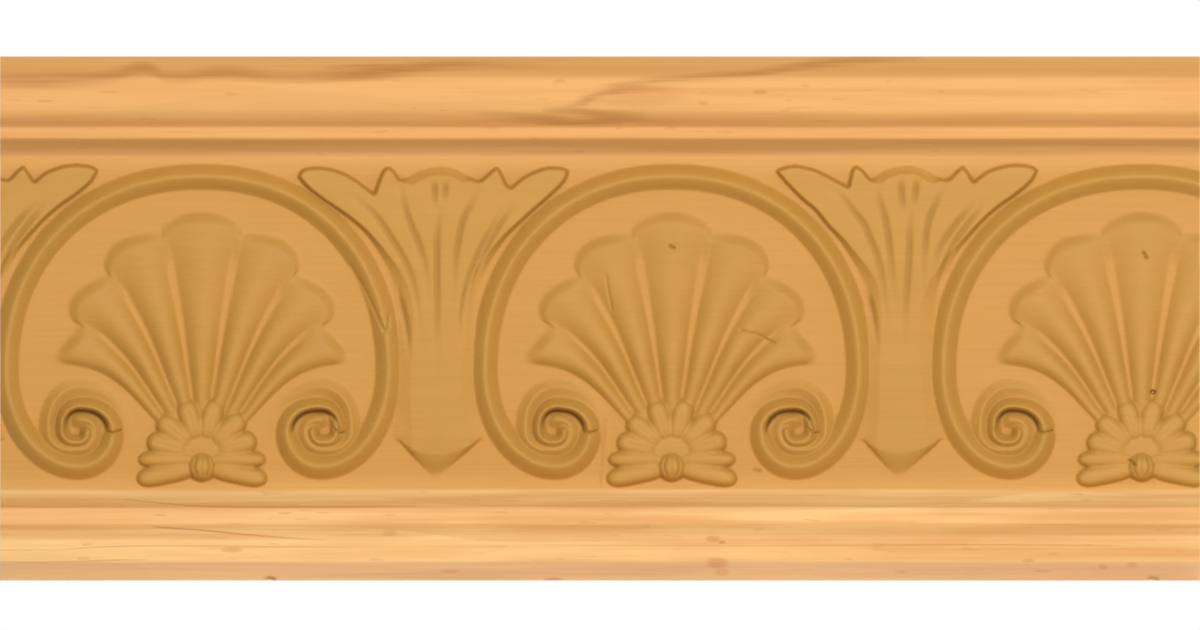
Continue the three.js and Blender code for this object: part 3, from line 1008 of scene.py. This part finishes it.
def growth_rings_group():
    """Late wood of the growth rings as a mask, from a place in millimetres."""
    inputs = [("Place", VECTOR, None), ("Spacing", FLOAT, 6.0), ("Wander", FLOAT, 5.0)]
    tree, given, wanted = new_group("Growth rings", inputs, [("Late wood", FLOAT)])
    slow = add(tree, "ShaderNodeMapping", {"Vector": given["Place"], "Scale": (0.009, 0.03, 0.03)})
    drift = add(tree, "ShaderNodeTexNoise", {
        "Vector": slow.outputs[0], "Scale": 1.0, "Detail": 2.0, "Roughness": 0.45,
    })
    parts = add(tree, "ShaderNodeSeparateXYZ", {0: given["Place"]})
    away = [maths(tree, "SUBTRACT", parts.outputs[i + 1], pith[i]) for i in (0, 1)]
    distance = maths(tree, "SQRT", squares(tree, *away))
    shift = product(tree, maths(tree, "SUBTRACT", drift.outputs[0], 0.5), given["Wander"])
    moved = maths(tree, "MULTIPLY_ADD", shift, drift_weight, distance)
    phase = maths(tree, "FRACT", maths(tree, "DIVIDE", moved, given["Spacing"]))
    climb = between(tree, phase, 0.4, late_peak)
    drop = between(tree, phase, late_peak, 1.0, 1.0, 0.0)
    tree.links.new(product(tree, climb, drop), wanted["Late wood"])
    return tree


# %% Fibres and flecks
def fibres_group():
    """Fine fibres along the board as a value round zero, and short dark resin flecks as a mask."""
    tree, given, wanted = new_group(
        "Pine fibres",
        [("Place", VECTOR, None), ("Fleck share", FLOAT, 0.7)],
        [("Fibre", FLOAT), ("Streak", FLOAT), ("Cloud", FLOAT), ("Flecks", FLOAT)],
    )

    def along_grain(scale, detail, roughness):
        stretched = add(tree, "ShaderNodeMapping", {"Vector": given["Place"], "Scale": scale})
        made = add(tree, "ShaderNodeTexNoise", {
            "Vector": stretched.outputs[0], "Scale": 1.0, "Detail": detail, "Roughness": roughness,
        })
        return made.outputs[0]

    fields = {
        "Fibre": along_grain((0.05, 2.0, 2.0), 3.0, 0.55),
        "Streak": along_grain((0.018, 0.55, 0.55), 2.0, 0.5),
        "Cloud": along_grain((0.016, 0.13, 0.13), 3.0, 0.5),
    }
    for name, field in fields.items():
        tree.links.new(maths(tree, "SUBTRACT", field, 0.5), wanted[name])
    spots = along_grain((0.2, 1.3, 1.3), 1.0, 0.4)
    over = maths(tree, "SUBTRACT", spots, given["Fleck share"])
    tree.links.new(between(tree, over, 0.0, 0.07), wanted["Flecks"])
    return tree


# %% Short marks
def short_mark_group():
    """A soft oval mark on the front, as a mask: 1 in its middle, 0 at its edge."""
    inputs = [
        ("Place", VECTOR, None), ("Across", FLOAT, 0.0), ("Up", FLOAT, 0.0),
        ("Half length", FLOAT, 1.0), ("Half width", FLOAT, 0.3),
    ]
    tree, given, wanted = new_group("Short mark", inputs, [("Mask", FLOAT)])
    parts = add(tree, "ShaderNodeSeparateXYZ", {0: given["Place"]})
    shares = [
        maths(tree, "DIVIDE", maths(tree, "SUBTRACT", parts.outputs[i], given[middle]), given[half])
        for i, middle, half in ((0, "Across", "Half length"), (2, "Up", "Half width"))
    ]
    tree.links.new(between(tree, squares(tree, *shares), 0.1, 1.0, 1.0, 0.0), wanted["Mask"])
    return tree


growth_rings = growth_rings_group()
fibres = fibres_group()
short_mark = short_mark_group()
print("node groups:", growth_rings.name, "/", fibres.name, "/", short_mark.name)

# %% [markdown]
# The board in hand has its own figure: a brown streak along the upper bevel, the tongue of a
# growth ring that runs out along the upper rail, and fine lines below. Each is drawn on the
# squared sheet as a line with a strength at every point, and a float curve follows it.

# %% Lines of the figure
# Each line: points (across, down, strength) and half width in squares
dark_lines = [
    ([(0, 79, 0.5), (60, 79, 0.7), (110, 76, 0.7), (145, 69, 0.8), (168, 76, 0.6), (225, 73, 0.7),
      (285, 77, 0.6), (340, 75, 0.8), (385, 71, 0.9), (430, 66, 0.9), (480, 65, 0.6),
      (560, 70, 0.2)], 10.0),
    ([(320, 70, 0.0), (350, 67, 0.6), (410, 65, 0.7), (470, 62, 0.5), (500, 60, 0.0)], 4.0),
    ([(520, 116, 0.0), (560, 110, 0.3), (580, 103, 0.5), (600, 94, 0.6), (640, 85, 0.6), (700, 78, 0.7),
      (760, 73, 0.8), (800, 66, 0.8), (840, 61, 0.8), (885, 58, 0.5), (930, 57, 0.0)], 8.5),
    ([(470, 114, 0.0), (500, 116, 0.4), (540, 119, 0.6), (570, 122, 0.7), (620, 121, 0.5),
      (700, 122, 0.1)], 6.0),
    ([(540, 113, 0.0), (575, 112, 0.7), (600, 116, 0.8), (650, 118, 0.2), (700, 118, 0.0)], 9.0),
    # This line runs the whole length in the upper cove: partly dark streaks of the grain, partly painted
    # shade of the cove, which faces down
    ([(0, 145, 0.2), (200, 144, 0.3), (420, 145, 0.2), (600, 146, 0.3), (800, 145, 0.2), (1000, 144, 0.4),
      (1200, 145, 0.4)], 7.0),
]
fine_lines = [
    ([(120, 499, 0.0), (160, 503, 0.7), (200, 506, 0.7), (300, 507, 0.7), (420, 506, 0.2)], 1.4),
    ([(0, 506, 0.5), (60, 507, 0.3), (120, 505, 0.0)], 1.4),
    ([(150, 526, 0.0), (170, 528, 0.8), (200, 530, 0.8), (240, 534, 0.8), (290, 538, 0.6),
      (330, 540, 0.0)], 1.6),
    ([(60, 550, 0.3), (100, 547, 0.6), (200, 546, 0.5), (300, 547, 0.5), (420, 546, 0.1), (560, 545, 0.3),
      (720, 546, 0.3), (880, 545, 0.5), (1060, 545, 0.5), (1120, 546, 0.0)], 1.0),
    ([(0, 562, 0.3), (60, 562, 0.5), (120, 560, 0.5), (150, 560, 0.0)], 1.3),
    ([(560, 549, 0.0), (860, 549, 0.3), (1040, 549, 0.3), (1060, 549, 0.0)], 0.8),
]
# Each mark: (across, down), half length and half width in squares, and strength
marks = [
    ((638, 96), 60, 14, 0.35), ((232, 550), 14, 3.5, 0.6), ((713, 539), 10, 4, 0.7),
    ((722, 542), 5, 2.5, 0.9), ((717, 563), 14, 7, 0.6), ((722, 572), 9, 5, 0.4),
    ((390, 533), 10, 5, 0.4), ((760, 92), 9, 3, 0.6), ((703, 103), 7, 3, 0.5),
    ((560, 81), 8, 2.5, 0.5), ((232, 94), 9, 2.5, 0.4), ((45, 101), 12, 2, 0.5),
    ((270, 578), 9, 2, 0.6), ((553, 579), 12, 1.6, 0.8), ((1028, 561), 9, 2, 0.5),
    ((1042, 571), 12, 2, 0.4), ((902, 572), 9, 2, 0.4), ((1103, 567), 6, 3, 0.5),
    ((1132, 565), 8, 4, 0.4), ((450, 571), 12, 2.5, 0.4), ((160, 515), 9, 2, 0.4),
    ((285, 513), 9, 1.6, 0.5), ((805, 86), 7, 2, 0.4), ((110, 92), 14, 2, 0.4),
]
mark_weight = 0.75
# Painted shade on the steps of the rails, down the sheet: how much each bevel, roll and cove is darkened,
# most in the upper cove, which faces down
painted_step_shade = [
    (56, 0.1), (77, 0.1), (84, 0.0), (104, 0.02), (114, 0.06), (122, 0.08), (130, 0.0), (135, 0.0),
    (141, 0.3), (150, 0.34), (158, 0.1), (170, 0.0), (480, 0.0), (490, 0.14), (504, 0.2), (510, 0.0),
    (522, 0.0), (526, 0.08), (536, 0.06), (539, 0.0), (560, 0.0), (580, 0.0),
]
print(len(dark_lines) + len(fine_lines), "lines and", len(marks), "marks in the wood")


def followed(tree, share, points):
    """A float curve through drawn points, all of them shares of the board."""
    made = add(tree, "ShaderNodeFloatCurve", {"Value": share})
    made.mapping.extend = "HORIZONTAL"
    line = made.mapping.curves[0]
    line.points[0].location = points[0]
    line.points[1].location = points[-1]
    for point in points[1:-1]:
        line.points.new(*point)
    made.mapping.update()
    return made.outputs[0]


def line_mask(tree, along, level, points, half_width):
    """A drawn line of the figure as a soft mask."""
    points = np.asarray(points, float)
    places = on_board(points[:, :2])
    x = places[:, 0] / (2 * half_length) + 0.5
    z = places[:, 1] / drawn_height + 0.5
    height = followed(tree, along, np.stack([x, z], 1).tolist())
    strength = followed(tree, along, np.stack([x, points[:, 2]], 1).tolist())
    away = maths(tree, "ABSOLUTE", maths(tree, "SUBTRACT", level, height))
    body = between(tree, away, 0.0, half_width * square / drawn_height, 1.0, 0.0)
    return product(tree, body, strength)


def mark_mask(tree, place, centre, half_long, half_wide, strength):
    """A short mark of the figure as a soft mask."""
    x, z = on_board([centre])[0]
    inputs = {
        "Place": place, "Across": x, "Up": z,
        "Half length": half_long * square, "Half width": half_wide * square,
    }
    spot = add(tree, "ShaderNodeGroup", inputs, node_tree=short_mark)
    return product(tree, spot.outputs[0], mark_weight * strength)


# %% [markdown]
# The board wears one material. The rails are pale orange with darker late wood. The pressed band
# starts from the same wood, a little browner, and goes to olive brown with the burnish and dark
# brown in the crevices. Close to the rails the roller hardly touched the ground, so it stays pale.
# The sawn ends show the rings as arcs. Roughness falls where the steel polished the wood.

# %% Material of the board
# Where the front, the bevels and the sawn ends begin and are full, in millimetres
front_starts = (-12.8, -13.6)
bevel_starts = (half_height - 3.7, half_height - 3.0)
end_starts = (half_length - 0.12, half_length - 0.03)


def pressed_pine():
    """Pale pine, browned where the roller pressed it, with painted shade on slopes, in hollows and on the
    rails' steps.
    """
    material = bpy.data.materials.new("pressed_pine")
    material.use_nodes = True
    tree = material.node_tree
    shader = tree.nodes["Principled BSDF"]
    where = add(tree, "ShaderNodeTexCoord").outputs["Object"]
    place = add(tree, "ShaderNodeMapping", {"Vector": where, "Scale": [1 / mm] * 3}).outputs[0]
    rings = add(tree, "ShaderNodeGroup", {"Place": place}, node_tree=growth_rings).outputs["Late wood"]
    fibre = add(tree, "ShaderNodeGroup", {"Place": place}, node_tree=fibres).outputs
    tone_and_slope_shade = add(tree, "ShaderNodeAttribute", attribute_name="roller_tone_and_slope_shade").outputs["Fac"]
    shade_in_hollows = add(tree, "ShaderNodeAttribute", attribute_name="painted_hollow_shade").outputs["Fac"]
    x, y, z = add(tree, "ShaderNodeSeparateXYZ", {0: place}).outputs
    along = maths(tree, "MULTIPLY_ADD", x, 1 / (2 * half_length), 0.5)
    level = maths(tree, "MULTIPLY_ADD", z, 1 / drawn_height, 0.5)
    on_front = between(tree, y, *front_starts)

    # Wood of the rails, a little deeper in colour above than below. Layers are (share, colour)
    upper_half = between(tree, z, -20.0, 20.0)
    early_wood = mix(tree, upper_half, (250, 204, 136), (234, 173, 103))
    bevel_wood = mix(tree, upper_half, (238, 196, 150), (216, 156, 86))
    levels = [(0.5 - (down - sheet_middle[1]) / sheet_height, share) for down, share in painted_step_shade]
    on_bevel = between(tree, maths(tree, "ABSOLUTE", z), *bevel_starts, 0.0, 0.6)
    plain = layered(tree, early_wood, [
        (product(tree, rings, 0.45), (224, 166, 98)),
        (between(tree, fibre["Cloud"], -0.1, 0.18, 0.0, 0.6), (226, 161, 92)),
        (between(tree, fibre["Streak"], -0.05, 0.2, 0.0, 0.6), (220, 155, 88)),
        (product(tree, fibre["Flecks"], 0.22), (186, 120, 62)),
        # Painted shade on the rails' bevels, rolls and coves, in this brown
        (product(tree, followed(tree, level, levels[::-1]), on_front), (160, 130, 76)),
        (product(tree, on_bevel, on_front), bevel_wood),
    ])

    # Its figure: dark lines with ragged edges, then fine lines and short marks
    ragged = maths(tree, "MULTIPLY_ADD", fibre["Streak"], 0.03, level)
    ragged = maths(tree, "MULTIPLY_ADD", fibre["Fibre"], 0.012, ragged)
    dark = strongest(tree, [line_mask(tree, along, ragged, *line) for line in dark_lines])
    fine = [line_mask(tree, along, level, *line) for line in fine_lines]
    fine = strongest(tree, fine + [mark_mask(tree, place, *mark) for mark in marks])
    rough_edge = between(tree, fibre["Fibre"], -0.25, 0.15, 0.55, 1.0)
    plain = layered(tree, plain, [
        (product(tree, dark, rough_edge, on_front), (182, 122, 56)),
        (product(tree, fine, 0.75, on_front), (190, 112, 52)),
    ])

    # Wood of the pressed band
    from_foot = maths(tree, "SUBTRACT", z, band_bottom)
    from_top = maths(tree, "SUBTRACT", band_bottom + band_height, z)
    into_band = maths(tree, "MINIMUM", from_foot, from_top)
    ground = mix(tree, between(tree, into_band, 0.0, 4.0), (216, 162, 87), (205, 150, 73))
    # The tone darkens the band with the roller's browning and with painted shade of its slopes
    tone = maths(tree, "MULTIPLY_ADD", fibre["Cloud"], 0.25, tone_and_slope_shade)
    band = layered(tree, ground, [
        (between(tree, fibre["Cloud"], -0.1, 0.25, 0.0, 0.35), (210, 152, 79)),
        (between(tree, tone, 0.0, 0.5), (188, 138, 60)),
        (between(tree, tone, 0.45, 1.0), (168, 124, 54)),
        # Painted shade in the grooves, bites and hollows, in dark brown
        (shade_in_hollows, (116, 78, 22)),
    ])

    # Sawn ends, where the rings show as arcs
    end_wood = mix(tree, product(tree, rings, 0.8), (224, 170, 106), (192, 130, 70))
    colour = layered(tree, plain, [
        (product(tree, between(tree, into_band, -0.5, 0.4), on_front), band),
        (between(tree, maths(tree, "ABSOLUTE", x), *end_starts), end_wood),
    ])

    # Fibres over all of it, in tone and in relief
    streak = maths(tree, "MULTIPLY_ADD", fibre["Fibre"], 0.15, 1.0)
    shaded = add(tree, "ShaderNodeHueSaturation", {"Color": colour, "Value": streak})
    bump = add(tree, "ShaderNodeBump", {"Height": fibre["Fibre"], "Strength": 0.1, "Distance": 0.0002})
    tree.links.new(shaded.outputs[0], shader.inputs["Base Color"])
    tree.links.new(between(tree, tone_and_slope_shade, 0.0, 1.0, 0.62, 0.5), shader.inputs["Roughness"])
    tree.links.new(bump.outputs[0], shader.inputs["Normal"])
    shader.inputs["Specular IOR Level"].default_value = 0.25
    return material


board_mesh.materials.append(pressed_pine())
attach(board, "root")
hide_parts(NODE)
print("board wears", board_mesh.materials[0].name)

# %% [markdown]
# ## Floor, light and camera
#
# The moulding stands on its lower edge on a plain pale floor. The photograph was lit almost from
# the front, softly, a little from above and the right. One large soft box does that, a dim sky
# fills the shadows, and a second box behind keeps the back from going dark. The sky looks white
# to the camera, but lights the wood less than that. The photograph's view is square on with no
# perspective, so the camera is orthographic and as wide as the length shown.

# %% Floor
floor_gap = 0.0001
floor_mesh = bpy.data.meshes.new("floor")
floor_shape = bmesh.new()
bmesh.ops.create_grid(floor_shape, x_segments=1, y_segments=1, size=1.5)
bmesh.ops.translate(floor_shape, verts=floor_shape.verts, vec=(0, 0, box_low.z - floor_gap))
floor_shape.to_mesh(floor_mesh)
floor_shape.free()
floor = placed("floor", floor_mesh)
pale = bpy.data.materials.new("pale_floor")
pale.use_nodes = True
pale_inputs = pale.node_tree.nodes["Principled BSDF"].inputs
pale_inputs["Base Color"].default_value = (0.82, 0.82, 0.82, 1)
pale_inputs["Roughness"].default_value = 0.9
floor_mesh.materials.append(pale)

# %% Light
sky_light = 0.32
world = bpy.data.worlds.new("studio")
world.use_nodes = True
sky = world.node_tree.nodes["Background"]
sky.inputs["Color"].default_value = (1, 1, 1, 1)
seen = add(world.node_tree, "ShaderNodeLightPath").outputs["Is Camera Ray"]
sky_strength = maths(world.node_tree, "MULTIPLY_ADD", seen, 1 - sky_light, sky_light)
world.node_tree.links.new(sky_strength, sky.inputs["Strength"])
scene.world = world


def soft_box(name, place, size, power):
    """A square lamp that faces the moulding."""
    data = bpy.data.lights.new(name, "AREA")
    data.shape = "SQUARE"
    data.size = size
    data.energy = power
    lamp = placed(name, data)
    lamp.location = place
    lamp.rotation_mode = "QUATERNION"
    lamp.rotation_quaternion = lamp.location.to_track_quat("Z", "Y")
    print(name, "at", place, "with", power, "W")


soft_box("front soft box", (0.17, -1.2, 0.40), 0.4, 10.9)
soft_box("back soft box", (0.7, 0.9, 0.5), 0.6, 8.0)
scene.view_settings.view_transform = "Standard"

# %% Camera
frame_width = 1200
frame_middle_row = 315.0
camera_distance = 1.0
metres_per_square = (box_high.x - box_low.x) / frame_width
camera_data = bpy.data.cameras.new("camera")
camera_data.type = "ORTHO"
camera_data.ortho_scale = box_high.x - box_low.x
camera = placed("camera", camera_data)
camera_height = (sheet_middle[1] - frame_middle_row) * metres_per_square
camera.location = (0, -camera_distance, camera_height)
camera.rotation_euler = (math.pi / 2, 0, 0)
scene.camera = camera
print("camera looks along +Y from", round(camera_height * 1000, 2), "mm above the middle")
